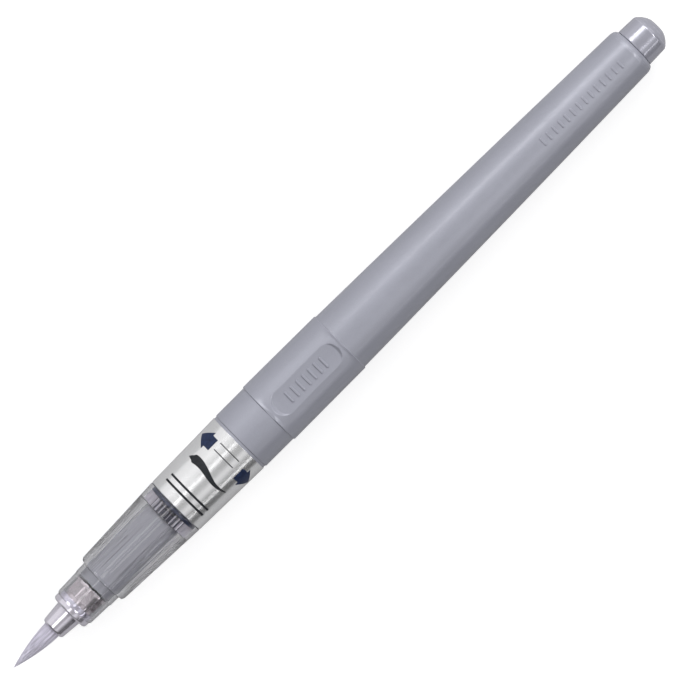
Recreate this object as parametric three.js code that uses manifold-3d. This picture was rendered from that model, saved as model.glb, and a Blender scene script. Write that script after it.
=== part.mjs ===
// A squeeze-barrel brush pen, without its cap, lying on its side. Millimetres, +Z up.
// The pen's axis runs along X, with the brush at the -X end and the tail plug at the +X end.
// The origin is under the middle of the pen, on the surface that it lies on.
//
// "Station" is the distance from the point of the brush, measured back along the axis.
// Every turned profile is a list of [station, radius] measured from the piece's own front face.

import * as THREE from "three";
import { mergeVertices } from "three/addons/utils/BufferGeometryUtils.js";
import Module from "manifold-3d";

const wasm = await Module();
wasm.setup();

// ---------------------------------------------------------------- driving dimensions

const LENGTH = 163; // point of the brush to the end of the tail plug
const AXIS_HEIGHT = 6.4; // the two flats of the squeeze zone are this far from the axis
const ZONE_RADIUS = [6.56, 6.47]; // front and rear of the raised squeeze zone, the widest part
const FINE = 40; // facets round the barrel and the clear nose
const COARSE = 24; // facets round the inner pieces
const FIT = 0.1; // radial gap between pieces that fit one in the other
const FACE_GAP = 0.05; // gap between faces that meet

// stations of the faces that the pieces are set out from
const FERRULE_AT = 9.9;
const ROOT_AT = 13.0;
const BUSH_AT = 14.1;
const SPONGE_AT = 16.5;
const RING_AT = 14.15;
const NOSE_AT = 15.4;
const COLLECTOR_AT = 20.6;
const RIDGE_AT = 20.2; // a low step on the front tube that the cap grips
const SHOULDER_AT = 22.5; // flat face that the cap stops on
const CHAMBER_AT = 22.4; // the nose's bore widens into its rear chamber
const COLLAR_AT = 38.15;
const POCKET_AT = 38.2; // ring-shaped pocket in the nose's rear face, round the spigot
const GASKET_AT = 40.4;
const SEAL_AT = 40.05;
const JOINT_AT = 41.2; // the clear nose meets the barrel here
const PLUG_AT = 48.6;
const LABEL_END = 57.15;
const SEAT_END = 57.65;
const ZONE_START = 64.75;
const ZONE_END = 82.85;
const ROUNDING_AT = 156.0; // the barrel's rear edge starts to round
const BARREL_END = 157.2;

// radii
const BRISTLE_RADIUS = 1.7;
const FERRULE_BORE = 2.1;
const NOSE_BORE = 3.65; // of the nose's front tube
const CHAMBER_RADIUS = 3.95; // of the nose's rear chamber and its spigot
const NOSE_END_RADIUS = 6.02;
const POCKET_RADIUS = 5.25;
const LABEL_RADIUS = [6.03, 6.34]; // outside, front and rear
const LABEL_THICKNESS = 0.12;
const FRONT_RADIUS = 6.36; // barrel between the label and the squeeze zone
const REAR_RADIUS = [6.27, 4.83]; // barrel's rear taper, front and rear
const REAR_BOW = 0.09; // the rear taper bows out by this much at its middle
const TANK_RADIUS = 5.45;
const WALL = 0.85; // barrel wall round the tapered part of the tank

// nose screw: two round threads of one pitch, half a pitch apart
const PITCH = 1.8;
const THREAD_TURNS = 2.5;
const THREAD_START = 42.4;
const SPIGOT_RADIUS = 4.45;
const SPIGOT_END = 47.5;
const SPIGOT_THREAD = { helixRadius: 4.53, beadRadius: 0.32 };
const MOUTH_RADIUS = 4.98;
const MOUTH_THREAD = { helixRadius: 4.93, beadRadius: 0.3 };

// squeeze pads, one on top and one underneath
const DIMPLE = { length: 16.3, width: 4.9, floor: 5.95 };
const PAD = { length: 13.6, width: 3.3, thickness: 0.7 };
const PAD_CENTRE = (ZONE_START + ZONE_END) / 2;
const PAD_GAP = 0.3;

// tail
const TAIL_BORE = 3.6;
const TAIL_HEAD_RADIUS = [4.06, 3.95]; // front and rear
const TAIL_SPIGOT = { radius: 3.4, length: 6.0 };
const SEAL_GROOVE = { at: 2.4, width: 1.1, depth: 0.6 };
const BALL_RADIUS = 2.0;
const BALL_DROP = 1.9; // the mixing ball runs this far below the axis

// ---------------------------------------------------------------- materials

function plastic(color, roughness, options = {}) {
  return new THREE.MeshStandardMaterial({ color, roughness, metalness: 0, ...options });
}

const BARREL_GREY = plastic(0xa9aab8, 0.38, { metalness: 0.25 });
const TAIL_GREY = plastic(0xb1b0be, 0.22, { metalness: 0.25 });
const CLEAR = plastic(0xdedfe4, 0.08, { transparent: true, opacity: 0.35 });
const MILKY = plastic(0xe4e0ea, 0.25);
const NYLON = plastic(0xc6c2cf, 0.45);
const INK_GREY = plastic(0x8f9099, 0.4, { metalness: 0.3 });
const DARK_GREY = plastic(0x55566a, 0.5);
const RUBBER = plastic(0x24262f, 0.8);
const FIBRE = plastic(0xd8d5d0, 0.95);
const STEEL = new THREE.MeshStandardMaterial({ color: 0xc8cacc, roughness: 0.2, metalness: 1 });
const FOIL = new THREE.MeshStandardMaterial({ color: 0xd9dadd, roughness: 0.28, metalness: 0.9 });

// ---------------------------------------------------------------- geometry helpers

/** A solid turned about the X axis. An open profile starts and ends on the axis. */
function turned(profile, facets = COARSE) {
  const points = profile.map(([station, radius]) => new THREE.Vector2(radius, station));
  return new THREE.LatheGeometry(points, facets).rotateZ(-Math.PI / 2);
}

/** A turned tube: its outside and its bore, each listed from front to rear. */
function tube(outside, bore, facets = COARSE) {
  return turned([...outside, ...bore.toReversed(), outside[0]], facets);
}

/** A plain ring or bush from station 0 to its length. */
function ring(length, outer, inner, facets = COARSE) {
  return tube([[0, outer], [length, outer]], [[0, inner], [length, inner]], facets);
}

/** The solid that booleans work on. */
function solid(geometry) {
  const bare = geometry.clone();
  bare.deleteAttribute("normal");
  bare.deleteAttribute("uv");
  const merged = mergeVertices(bare, 1e-4);
  return new wasm.Manifold(
    new wasm.Mesh({
      numProp: 3,
      vertProperties: merged.attributes.position.array,
      triVerts: new Uint32Array(merged.index.array),
    }),
  );
}

/** A boolean's result as a geometry. */
function geometryOf(manifold) {
  const mesh = manifold.getMesh();
  return new THREE.BufferGeometry()
    .setAttribute("position", new THREE.BufferAttribute(mesh.vertProperties, 3))
    .setIndex(new THREE.BufferAttribute(mesh.triVerts, 1));
}

/** A stadium of that overall length along X and width along Y, standing on z from low to high. */
function stadium(length, width, low, high, centre) {
  const radius = width / 2;
  const straight = length / 2 - radius;
  const shape = new THREE.Shape();
  shape.absarc(straight, 0, radius, -Math.PI / 2, Math.PI / 2);
  shape.absarc(-straight, 0, radius, Math.PI / 2, (3 * Math.PI) / 2);
  shape.closePath();
  const options = { depth: high - low, bevelEnabled: false, curveSegments: 8 };
  return new THREE.ExtrudeGeometry(shape, options).translate(centre, 0, low);
}

/** A right-hand helix about the X axis. */
class Helix extends THREE.Curve {
  constructor(start, radius, turns) {
    super();
    Object.assign(this, { start, radius, turns });
  }

  getPoint(share, target = new THREE.Vector3()) {
    const turn = share * this.turns;
    const angle = 2 * Math.PI * turn;
    return target.set(
      this.start + PITCH * turn,
      this.radius * Math.cos(angle),
      this.radius * Math.sin(angle),
    );
  }
}

/** A round thread: a bead of that section swept along a helix. */
function threadBead(start, { helixRadius, beadRadius }) {
  const section = new THREE.Shape();
  section.absarc(0, 0, beadRadius, 0, 2 * Math.PI);
  const stepsPerTurn = 14;
  return new THREE.ExtrudeGeometry(section, {
    steps: stepsPerTurn * THREAD_TURNS,
    curveSegments: 3,
    bevelEnabled: false,
    extrudePath: new Helix(start, helixRadius, THREAD_TURNS),
  });
}

/** A bar of that length whose edge has evenly spaced flutes. */
function flutedBar(length, outer, root, bore, flutes) {
  const shape = new THREE.Shape();
  const step = (2 * Math.PI) / flutes;
  const corners = [[0, outer], [0.5, outer], [0.62, root], [0.88, root]];
  for (let flute = 0; flute < flutes; flute++) {
    for (const [share, radius] of corners) {
      const angle = (flute + share) * step;
      const move = flute === 0 && share === 0 ? "moveTo" : "lineTo";
      shape[move](radius * Math.cos(angle), radius * Math.sin(angle));
    }
  }
  shape.closePath();
  const hole = new THREE.Path();
  hole.absarc(0, 0, bore, 0, 2 * Math.PI, true);
  shape.holes.push(hole);
  const options = { depth: length, bevelEnabled: false, curveSegments: 12 };
  return new THREE.ExtrudeGeometry(shape, options).rotateY(Math.PI / 2);
}

function piece(name, geometry, material, station) {
  const mesh = new THREE.Mesh(geometry, material);
  mesh.name = name;
  mesh.position.x = station;
  return mesh;
}

// ---------------------------------------------------------------- brush

/** The tuft: an ogive that runs back into the ferrule as a round bundle. */
function bristles() {
  const ogivePower = 1.75;
  const steps = 10;
  const profile = [];
  for (let step = 0; step <= steps; step++) {
    const share = step / steps;
    profile.push([share * FERRULE_AT, BRISTLE_RADIUS * (1 - (1 - share) ** ogivePower)]);
  }
  profile.push([ROOT_AT - FACE_GAP, BRISTLE_RADIUS], [ROOT_AT - FACE_GAP, 0]);
  return piece("bristles", turned(profile), NYLON, 0);
}

/** The fused end of the tuft, wider than the ferrule's front bore, so that it can't pull through. */
function bristleRoot() {
  const thickness = 1.0;
  return piece("bristle_root", ring(thickness, FERRULE_BORE - FIT, 0.6), NYLON, ROOT_AT);
}

/** The milky cone that holds the tuft, with a wider body and flange inside the clear nose. */
function ferrule() {
  const outside = [
    [0, 1.95],
    [0.12, 2.18],
    [0.4, 2.33],
    [4.6, 2.72],
    [5.6, 2.95],
    [7.2, 2.95],
    [7.3, 3.3],
    [9.7, 3.3],
    [9.7, 3.5],
    [10.4, 3.5],
  ];
  const bore = [
    [0, BRISTLE_RADIUS + 0.08],
    [ROOT_AT - FERRULE_AT - FACE_GAP, BRISTLE_RADIUS + 0.08],
    [ROOT_AT - FERRULE_AT - FACE_GAP, FERRULE_BORE],
    [10.4, FERRULE_BORE],
  ];
  return piece("ferrule", tube(outside, bore), MILKY, FERRULE_AT);
}

/** A bush pressed in behind the root. */
function retainerBush() {
  return piece("retainer_bush", ring(2.2, FERRULE_BORE - FIT, 0.95), MILKY, BUSH_AT);
}

/** The fibre rod that carries ink from the collector to the tuft. */
function feedCore() {
  const radius = 0.8;
  const length = 18.6;
  const profile = [[0, 0], [0, radius], [length, radius], [length, 0]];
  return piece("feed_core", turned(profile), FIBRE, BUSH_AT);
}

/** A soft sleeve round the feed core that evens out the flow. */
function bufferSponge() {
  return piece("buffer_sponge", ring(3.6, FERRULE_BORE - FIT, 0.9), FIBRE, SPONGE_AT);
}

// ---------------------------------------------------------------- nose

/** The ring that closes the front of the nose, with a spigot inside the nose's tube. */
function frontRing() {
  const outside = [
    [0, 3.55],
    [0.3, 3.85],
    [1.2, 3.85],
    [1.2, NOSE_BORE - 0.05],
    [2.3, NOSE_BORE - 0.05],
  ];
  const bore = [[0, 2.85], [1.3, 3.05], [2.3, 3.05]];
  return piece("front_ring", tube(outside, bore), MILKY, RING_AT);
}

/** The clear screw-on nose: front tube, shoulder, tapered grip, and the threaded spigot. */
function clearNose() {
  const ridge = RIDGE_AT - NOSE_AT;
  const shoulder = SHOULDER_AT - NOSE_AT;
  const rear = JOINT_AT - FACE_GAP - NOSE_AT;
  const spigotEnd = SPIGOT_END - NOSE_AT;
  const outside = [
    [0, 3.95],
    [0.25, 4.1],
    [ridge, 4.24],
    [ridge + 0.15, 4.35],
    [shoulder, 4.38],
    [shoulder, 4.95],
    [shoulder + 0.5, 5.24],
    [rear, NOSE_END_RADIUS],
    [rear, POCKET_RADIUS],
    [POCKET_AT - NOSE_AT, POCKET_RADIUS],
    [POCKET_AT - NOSE_AT, SPIGOT_RADIUS],
    [spigotEnd - 0.4, SPIGOT_RADIUS],
    [spigotEnd, SPIGOT_RADIUS - 0.3],
  ];
  const bore = [
    [0, NOSE_BORE],
    [CHAMBER_AT - NOSE_AT, NOSE_BORE],
    [CHAMBER_AT - NOSE_AT, CHAMBER_RADIUS],
    [spigotEnd, CHAMBER_RADIUS],
  ];
  const thread = threadBead(THREAD_START - NOSE_AT, SPIGOT_THREAD);
  const nose = solid(tube(outside, bore, FINE)).add(solid(thread));
  return piece("clear_nose", geometryOf(nose), CLEAR, NOSE_AT);
}

/** The rubber ring in the nose's rear pocket, which seals against the barrel's mouth. */
function noseGasket() {
  const length = JOINT_AT - FIT - GASKET_AT;
  const gasket = ring(length, POCKET_RADIUS - FIT, SPIGOT_RADIUS + FIT, FINE);
  return piece("nose_gasket", gasket, RUBBER, GASKET_AT);
}

/** The fluted ink collector: a narrow head in the nose's tube and a wide body in its chamber. */
function collector() {
  const headLength = CHAMBER_AT + FIT - COLLECTOR_AT;
  const bodyLength = COLLAR_AT - FACE_GAP - COLLECTOR_AT - headLength;
  const bore = 1.5;
  const body = flutedBar(bodyLength, CHAMBER_RADIUS - FIT, 3.3, bore, 20);
  const head = ring(headLength + 0.2, NOSE_BORE - FIT, bore);
  const joined = solid(body.translate(headLength, 0, 0)).add(solid(head));
  return piece("ink_collector", geometryOf(joined), INK_GREY, COLLECTOR_AT);
}

/** The ribbed ring behind the collector. */
function collectorCollar() {
  const length = SEAL_AT - COLLAR_AT - 0.3;
  return piece("collector_collar", flutedBar(length, 3.85, 3.55, 1.5, 24), DARK_GREY, COLLAR_AT);
}

/** The rubber disc that seals the feed tube in the nose's bore. */
function tubeSeal() {
  return piece("tube_seal", ring(1.1, CHAMBER_RADIUS - 0.05, 1.5), RUBBER, SEAL_AT);
}

/** The tube from the collector back into the tank, with a flange between collar and seal. */
function feedTube() {
  const frontEnd = 34.0;
  const rearEnd = 55.0;
  const flange = SEAL_AT - 0.25 - frontEnd;
  const outside = [
    [0, 1.4],
    [flange, 1.4],
    [flange, 2.4],
    [flange + 0.2, 2.4],
    [flange + 0.2, 1.4],
    [rearEnd - frontEnd, 1.4],
  ];
  const bore = [[0, 0.9], [rearEnd - frontEnd, 0.9]];
  return piece("feed_tube", tube(outside, bore), MILKY, frontEnd);
}

// ---------------------------------------------------------------- barrel

/** Outer radius of the barrel's rear part at a station: a straight taper with a slight bow. */
function rearRadius(station) {
  const share = (station - ZONE_END) / (ROUNDING_AT - ZONE_END);
  return THREE.MathUtils.lerp(...REAR_RADIUS, share) + REAR_BOW * Math.sin(Math.PI * share);
}

/** The barrel's outside from its mouth to its tail. */
function barrelOutside() {
  const seatFront = LABEL_RADIUS[0] - LABEL_THICKNESS - 0.02;
  const seatRear = LABEL_RADIUS[1] - LABEL_THICKNESS - 0.02;
  const step = 0.12;
  const points = [
    [JOINT_AT, seatFront],
    [SEAT_END, seatRear],
    [SEAT_END + step, FRONT_RADIUS],
    [ZONE_START - step, FRONT_RADIUS],
    [ZONE_START, ZONE_RADIUS[0]],
    [ZONE_END - step, ZONE_RADIUS[1]],
  ];
  const spans = 6;
  for (let span = 0; span <= spans; span++) {
    const station = THREE.MathUtils.lerp(ZONE_END, ROUNDING_AT, span / spans);
    points.push([station, rearRadius(station)]);
  }
  points.push([BARREL_END - 0.5, 4.68], [BARREL_END, 4.15]);
  return points;
}

/** The barrel's inside: threaded mouth, plug seat, tank and tail bore. */
function barrelBore() {
  const plugSeatEnd = PLUG_AT + 5.6;
  const tankFront = plugSeatEnd + 1.0;
  const tankRear = BARREL_END - TAIL_SPIGOT.length - 1.0;
  return [
    [JOINT_AT, MOUTH_RADIUS],
    [PLUG_AT - 0.9, MOUTH_RADIUS],
    [PLUG_AT - 0.4, 4.6],
    [plugSeatEnd, 4.6],
    [tankFront, TANK_RADIUS],
    [ZONE_END, TANK_RADIUS],
    [(ZONE_END + tankRear) / 2, rearRadius((ZONE_END + tankRear) / 2) - WALL],
    [tankRear, rearRadius(tankRear) - WALL],
    [tankRear + 0.6, TAIL_BORE],
    [BARREL_END, TAIL_BORE],
  ];
}

/** The same cutter above the axis and below it. */
function onBothSides(geometry) {
  return [solid(geometry), solid(geometry.clone().rotateX(Math.PI))];
}

/** The squeeze barrel, which is the ink tank, with its two flats, dimples and pad openings. */
function barrel() {
  const top = ZONE_RADIUS[0] + 1;
  const slab = new THREE.BoxGeometry(ZONE_END - ZONE_START + 1, 2 * top, 2);
  slab.translate(PAD_CENTRE, 0, AXIS_HEIGHT + 1);
  const dimple = stadium(DIMPLE.length, DIMPLE.width, DIMPLE.floor, top, PAD_CENTRE);
  const opening = stadium(
    PAD.length + 2 * PAD_GAP,
    PAD.width + 2 * PAD_GAP,
    DIMPLE.floor - 2,
    top,
    PAD_CENTRE,
  );
  let body = solid(tube(barrelOutside(), barrelBore(), FINE));
  for (const cutter of [slab, dimple, opening].flatMap(onBothSides)) {
    body = body.subtract(cutter);
  }
  body = body.add(solid(threadBead(THREAD_START + PITCH / 2, MOUTH_THREAD)));
  return piece("barrel", geometryOf(body), BARREL_GREY, 0);
}

/** One wall of the squeeze zone that gives under a finger, with grip ribs across it. */
function pushPad(name, turn) {
  const top = DIMPLE.floor;
  const plate = stadium(PAD.length, PAD.width, top - PAD.thickness, top, 0);
  const ribs = 7;
  const ribPitch = 1.45;
  const ribHeight = 0.15;
  let pad = solid(plate);
  for (let rib = 0; rib < ribs; rib++) {
    const bar = new THREE.BoxGeometry(0.45, 2.4, 2 * ribHeight);
    bar.translate((rib - (ribs - 1) / 2) * ribPitch, 0, top);
    pad = pad.add(solid(bar));
  }
  const mesh = piece(name, geometryOf(pad), BARREL_GREY, PAD_CENTRE);
  mesh.rotation.x = turn;
  return mesh;
}

/** The plug in the barrel's neck that grips the feed tube and closes the tank. */
function innerPlug() {
  const outside = [[0, 4.5], [4.8, 4.5], [5.3, 4.2]];
  const bore = [[0, 1.9], [0.8, 1.5], [5.3, 1.5]];
  return piece("inner_plug", tube(outside, bore), MILKY, PLUG_AT);
}

/** The foil label, shrunk into its seat on the barrel's front. */
function foilLabel() {
  const setback = 0.1;
  const start = JOINT_AT + setback;
  const length = LABEL_END - start;
  const slope = (LABEL_RADIUS[1] - LABEL_RADIUS[0]) / (SEAT_END - JOINT_AT);
  const front = LABEL_RADIUS[0] + slope * setback;
  const rear = front + slope * length;
  const outside = [[0, front], [length, rear]];
  const bore = outside.map(([station, radius]) => [station, radius - LABEL_THICKNESS]);
  return piece("foil_label", tube(outside, bore, FINE), FOIL, start);
}

/** The tail plug: a polished head outside and a grooved spigot inside the barrel. */
function tailPlug() {
  const spigot = TAIL_SPIGOT.length;
  const head = spigot + FACE_GAP;
  const end = spigot + LENGTH - BARREL_END;
  const { at, width, depth } = SEAL_GROOVE;
  const profile = [
    [0, 0],
    [0, TAIL_SPIGOT.radius - 0.3],
    [0.4, TAIL_SPIGOT.radius],
    [at, TAIL_SPIGOT.radius],
    [at, TAIL_SPIGOT.radius - depth],
    [at + width, TAIL_SPIGOT.radius - depth],
    [at + width, TAIL_SPIGOT.radius],
    [head, TAIL_SPIGOT.radius],
    [head, TAIL_HEAD_RADIUS[0]],
    [end - 1.9, TAIL_HEAD_RADIUS[1]],
    [end - 1.5, 3.73],
    [end - 0.8, 3.05],
    [end - 0.3, 2.3],
    [end, 1.6],
    [end, 0],
  ];
  return piece("tail_plug", turned(profile, FINE), TAIL_GREY, BARREL_END - spigot);
}

/** The rubber ring in the tail plug's groove. */
function tailSeal() {
  const { at, width, depth } = SEAL_GROOVE;
  const station = BARREL_END - TAIL_SPIGOT.length + at + FACE_GAP;
  const inner = TAIL_SPIGOT.radius - depth + FACE_GAP;
  const seal = ring(width - 2 * FACE_GAP, TAIL_BORE - FACE_GAP, inner);
  return piece("tail_seal", seal, RUBBER, station);
}

/** The loose steel ball that stirs the pigment when the pen is shaken. */
function mixingBall() {
  const station = BARREL_END - TAIL_SPIGOT.length - BALL_RADIUS - 0.1;
  const ball = piece("mixing_ball", new THREE.SphereGeometry(BALL_RADIUS, 16, 10), STEEL, station);
  ball.position.z = -BALL_DROP;
  return ball;
}

// ---------------------------------------------------------------- assembly

/** What turns with the clear nose as it unscrews. */
function noseUnit() {
  const unit = new THREE.Group();
  unit.add(bristles(), bristleRoot(), ferrule(), retainerBush(), feedCore(), bufferSponge());
  unit.add(frontRing(), clearNose(), noseGasket(), collector(), collectorCollar());
  return unit;
}

/** What moves forward with the nose but doesn't turn. */
function feedUnit() {
  const unit = new THREE.Group();
  unit.add(feedTube(), tubeSeal());
  return unit;
}

/** The barrel and what it holds. */
function barrelUnit() {
  const unit = new THREE.Group();
  unit.add(barrel(), innerPlug(), foilLabel(), tailPlug(), tailSeal());
  unit.add(pushPad("push_pad_top", 0), pushPad("push_pad_bottom", Math.PI), mixingBall());
  return unit;
}

const brushPen = new THREE.Group();
brushPen.add(noseUnit(), feedUnit(), barrelUnit());
brushPen.position.set(-LENGTH / 2, 0, AXIS_HEIGHT);

export default brushPen;
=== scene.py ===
"""Looks of the squeeze-barrel brush pen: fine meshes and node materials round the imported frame."""

import functools
import math
import random

import bmesh
import bpy
from mathutils import Matrix, Vector


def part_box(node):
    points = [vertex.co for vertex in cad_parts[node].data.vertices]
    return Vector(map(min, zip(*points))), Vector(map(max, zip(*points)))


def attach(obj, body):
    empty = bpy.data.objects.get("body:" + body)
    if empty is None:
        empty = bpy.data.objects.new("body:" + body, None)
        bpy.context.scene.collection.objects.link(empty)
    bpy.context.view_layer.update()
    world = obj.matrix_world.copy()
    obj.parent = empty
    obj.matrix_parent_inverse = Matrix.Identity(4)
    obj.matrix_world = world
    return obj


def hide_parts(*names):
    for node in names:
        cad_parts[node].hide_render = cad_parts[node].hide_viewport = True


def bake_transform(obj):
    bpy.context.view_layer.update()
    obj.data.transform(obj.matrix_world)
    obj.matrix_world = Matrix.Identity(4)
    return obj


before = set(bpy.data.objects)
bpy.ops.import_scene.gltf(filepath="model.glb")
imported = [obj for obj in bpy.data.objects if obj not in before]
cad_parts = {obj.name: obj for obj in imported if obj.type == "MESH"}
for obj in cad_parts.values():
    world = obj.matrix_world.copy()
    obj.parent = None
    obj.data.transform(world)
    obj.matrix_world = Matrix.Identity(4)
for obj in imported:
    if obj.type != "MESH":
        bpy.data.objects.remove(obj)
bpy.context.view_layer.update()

# ---------------------------------------------------------------- places

MM = 0.001
TIP_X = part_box("bristles")[0].x
AXIS_Z = (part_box("tail_plug")[0].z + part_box("tail_plug")[1].z) / 2
UP = math.pi / 2  # angles run from +Y up to +Z
CAMERA_TILT = math.radians(4.8)  # the camera's lean towards +Y
EDGE = 0.12  # how far a moulded edge is rounded, in millimetres
ROUND = 144  # segments round an outer piece


@functools.cache
def span(node):
    """Where a CAD node starts and ends, in millimetres back from the point of the brush."""
    low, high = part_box(node)
    return (low.x - TIP_X) / MM, (high.x - TIP_X) / MM


@functools.cache
def reach(node):
    """Largest radius of a CAD node, in millimetres."""
    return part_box(node)[1].y / MM


def place(station, radius, angle):
    """The point at that station, radius and angle, in metres."""
    return Vector(
        (
            TIP_X + station * MM,
            radius * math.cos(angle) * MM,
            AXIS_Z + radius * math.sin(angle) * MM,
        )
    )


def lerp(a, b, share):
    return a + (b - a) * share


def smooth(low, high, value):
    """0 below low, 1 above high, and a smooth step between them."""
    share = min(max((value - low) / (high - low), 0.0), 1.0)
    return share * share * (3 - 2 * share)


NOSE_FRONT, SPIGOT_END = span("clear_nose")
JOINT = span("barrel")[0]
BARREL_END = span("barrel")[1]
TAIL_END = span("tail_plug")[1]
PAD_FRONT, PAD_REAR = span("push_pad_top")
PAD_CENTRE = (PAD_FRONT + PAD_REAR) / 2
ZONE_HALF = 9.05  # half the length of the raised squeeze zone
ZONE_FRONT = PAD_CENTRE - ZONE_HALF
ZONE_REAR = PAD_CENTRE + ZONE_HALF
THREAD_START, THREAD_TURNS, PITCH = 42.4, 2.5, 1.8

# ---------------------------------------------------------------- node materials


class Finish:
    """A node material while it is being put together."""

    def __init__(self, name, **sockets):
        self.material = bpy.data.materials.new(name)
        self.material.use_nodes = True
        self.tree = self.material.node_tree
        self.shader = self.tree.nodes["Principled BSDF"]
        self.where = self.tree.nodes.new("ShaderNodeTexCoord").outputs["Object"]
        for key, value in sockets.items():
            self.shader.inputs[key.replace("_", " ")].default_value = value

    def node(self, kind, **inputs):
        made = self.tree.nodes.new(kind)
        for key, value in inputs.items():
            self.feed(made.inputs[key.replace("_", " ")], value)
        return made

    def feed(self, socket, value):
        if isinstance(value, bpy.types.NodeSocket):
            self.tree.links.new(value, socket)
        else:
            socket.default_value = value

    def noise(self, per_mm, detail=3.0, stretch=(1, 1, 1)):
        """Soft noise with that many features in a millimetre, drawn out along an axis by stretch."""
        scale = [per_mm / MM / s for s in stretch]
        mapping = self.node("ShaderNodeMapping", Vector=self.where, Scale=scale)
        noise = self.node(
            "ShaderNodeTexNoise", Vector=mapping.outputs[0], Scale=1.0, Detail=detail
        )
        return noise.outputs["Fac"]

    def ramp(self, value, low, high, to_low=0.0, to_high=1.0):
        """Value moved from one range to another, and held inside it."""
        made = self.node("ShaderNodeMapRange", Value=value)
        made.inputs["From Min"].default_value = low
        made.inputs["From Max"].default_value = high
        self.feed(made.inputs["To Min"], to_low)
        self.feed(made.inputs["To Max"], to_high)
        return made.outputs["Result"]

    def math(self, operation, first, second):
        made = self.tree.nodes.new("ShaderNodeMath")
        made.operation = operation
        self.feed(made.inputs[0], first)
        self.feed(made.inputs[1], second)
        return made.outputs[0]

    def mix(self, factor, first, second):
        """One colour over another."""
        made = self.tree.nodes.new("ShaderNodeMix")
        made.data_type = "RGBA"
        self.feed(made.inputs["Factor"], factor)
        for socket, colour in ((made.inputs[6], first), (made.inputs[7], second)):
            self.feed(socket, (*colour, 1.0) if isinstance(colour, tuple) else colour)
        return made.outputs[2]

    def bump(self, height, depth, under=None):
        """Relief of that depth in millimetres."""
        made = self.node("ShaderNodeBump", Height=height, Strength=1.0, Distance=depth * MM)
        if under:
            self.feed(made.inputs["Normal"], under)
        return made.outputs["Normal"]

    def edge(self):
        """1 along the rounded outer edges of a piece and -1 in its corners."""
        made = self.tree.nodes.new("ShaderNodeAttribute")
        made.attribute_name = "edge"
        return made.outputs["Fac"]

    def done(self, **sockets):
        for key, value in sockets.items():
            self.feed(self.shader.inputs[key.replace("_", " ")], value)
        return self.material


def shade(colour, factor):
    return tuple(min(c * factor, 1.0) for c in colour)


def moulded(name, colour, rough, metallic=0.0, grain=0.004, edge_tone=1.25, **sockets):
    """Moulded plastic: cloudy tone, fine grain, faint flow lines, worn edges and painted shade in
    corners.
    """
    finish = Finish(name, Metallic=metallic, **sockets)
    cloud = finish.noise(0.16, 4.0, stretch=(3, 1, 1))
    fleck = finish.noise(6.0, 2.0)
    scuff_and_shade = finish.noise(1.1, 5.0)
    base = finish.mix(finish.ramp(cloud, 0.3, 0.7), shade(colour, 0.95), shade(colour, 1.05))
    base = finish.mix(finish.ramp(fleck, 0.35, 0.75, 0.0, 0.35), base, shade(colour, 1.18))
    edge = finish.edge()
    worn = finish.math("MULTIPLY", finish.ramp(edge, 0.1, 0.9), finish.ramp(scuff_and_shade, 0.42, 0.62))
    base = finish.mix(worn, base, shade(colour, edge_tone))
    # Painted shade: inside corners are darkened towards half the tone, in patches set by the noise.
    corner_shade = finish.math("MULTIPLY", finish.ramp(edge, -0.9, -0.1, 0.4, 0.0), scuff_and_shade)
    base = finish.mix(corner_shade, base, shade(colour, 0.5))
    uneven = finish.ramp(scuff_and_shade, 0.3, 0.7, rough - 0.05, rough + 0.06)
    flow = finish.noise(0.9, 2.0, stretch=(14, 1, 1))
    relief = finish.bump(flow, grain * 1.5)
    relief = finish.bump(finish.noise(7.0, 3.0), grain, relief)
    return finish.done(Base_Color=base, Roughness=uneven, Normal=relief)


def clear(name, colour, rough):
    """Clear moulded plastic that lets the lamps through to what is inside it."""
    finish = Finish(name, Transmission_Weight=1.0, IOR=1.46)
    cloud = finish.noise(0.4, 3.0, stretch=(4, 1, 1))
    base = finish.mix(finish.ramp(cloud, 0.3, 0.7), shade(colour, 0.985), shade(colour, 1.01))
    haze = finish.ramp(finish.noise(1.5, 4.0), 0.35, 0.75, rough, rough + 0.05)
    waves = finish.bump(finish.noise(0.2, 0.0, stretch=(12, 1, 1)), 0.0003)
    finish.done(Base_Color=base, Roughness=haze, Normal=waves)
    see_through = finish.node("ShaderNodeBsdfTransparent", Color=(*shade(colour, 0.97), 1.0))
    path = finish.tree.nodes.new("ShaderNodeLightPath")
    either = finish.node("ShaderNodeMixShader", Fac=path.outputs["Is Shadow Ray"])
    finish.feed(either.inputs[1], finish.shader.outputs[0])
    finish.feed(either.inputs[2], see_through.outputs[0])
    output = finish.tree.nodes["Material Output"]
    finish.feed(output.inputs["Surface"], either.outputs[0])
    return finish.material


def foil(name, colour):
    """Metallised film: faint rolling lines along the pen and a soft orange peel."""
    finish = Finish(name, Metallic=0.82)
    cloud = finish.noise(0.2, 4.0, stretch=(2, 1, 1))
    rolled = finish.noise(3.0, 3.0, stretch=(30, 1, 1))
    base = finish.mix(finish.ramp(cloud, 0.3, 0.7), shade(colour, 0.96), shade(colour, 1.04))
    base = finish.mix(finish.ramp(rolled, 0.3, 0.8, 0.0, 0.25), base, shade(colour, 0.9))
    rough = finish.ramp(cloud, 0.3, 0.7, 0.2, 0.26)
    peel = finish.bump(finish.noise(0.35, 1.0, stretch=(3, 1, 1)), 0.001)
    return finish.done(Base_Color=base, Roughness=rough, Normal=peel)


def ink(name, colour):
    """Printed ink: slightly mottled, with pinholes that let the foil's tone through."""
    finish = Finish(name, Specular_IOR_Level=0.25)
    blotch = finish.noise(2.2, 5.0)
    base = finish.mix(finish.ramp(blotch, 0.3, 0.75), colour, shade(colour, 2.2))
    rough = finish.ramp(blotch, 0.3, 0.7, 0.34, 0.5)
    return finish.done(Base_Color=base, Roughness=rough, Normal=finish.bump(blotch, 0.003))


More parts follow.
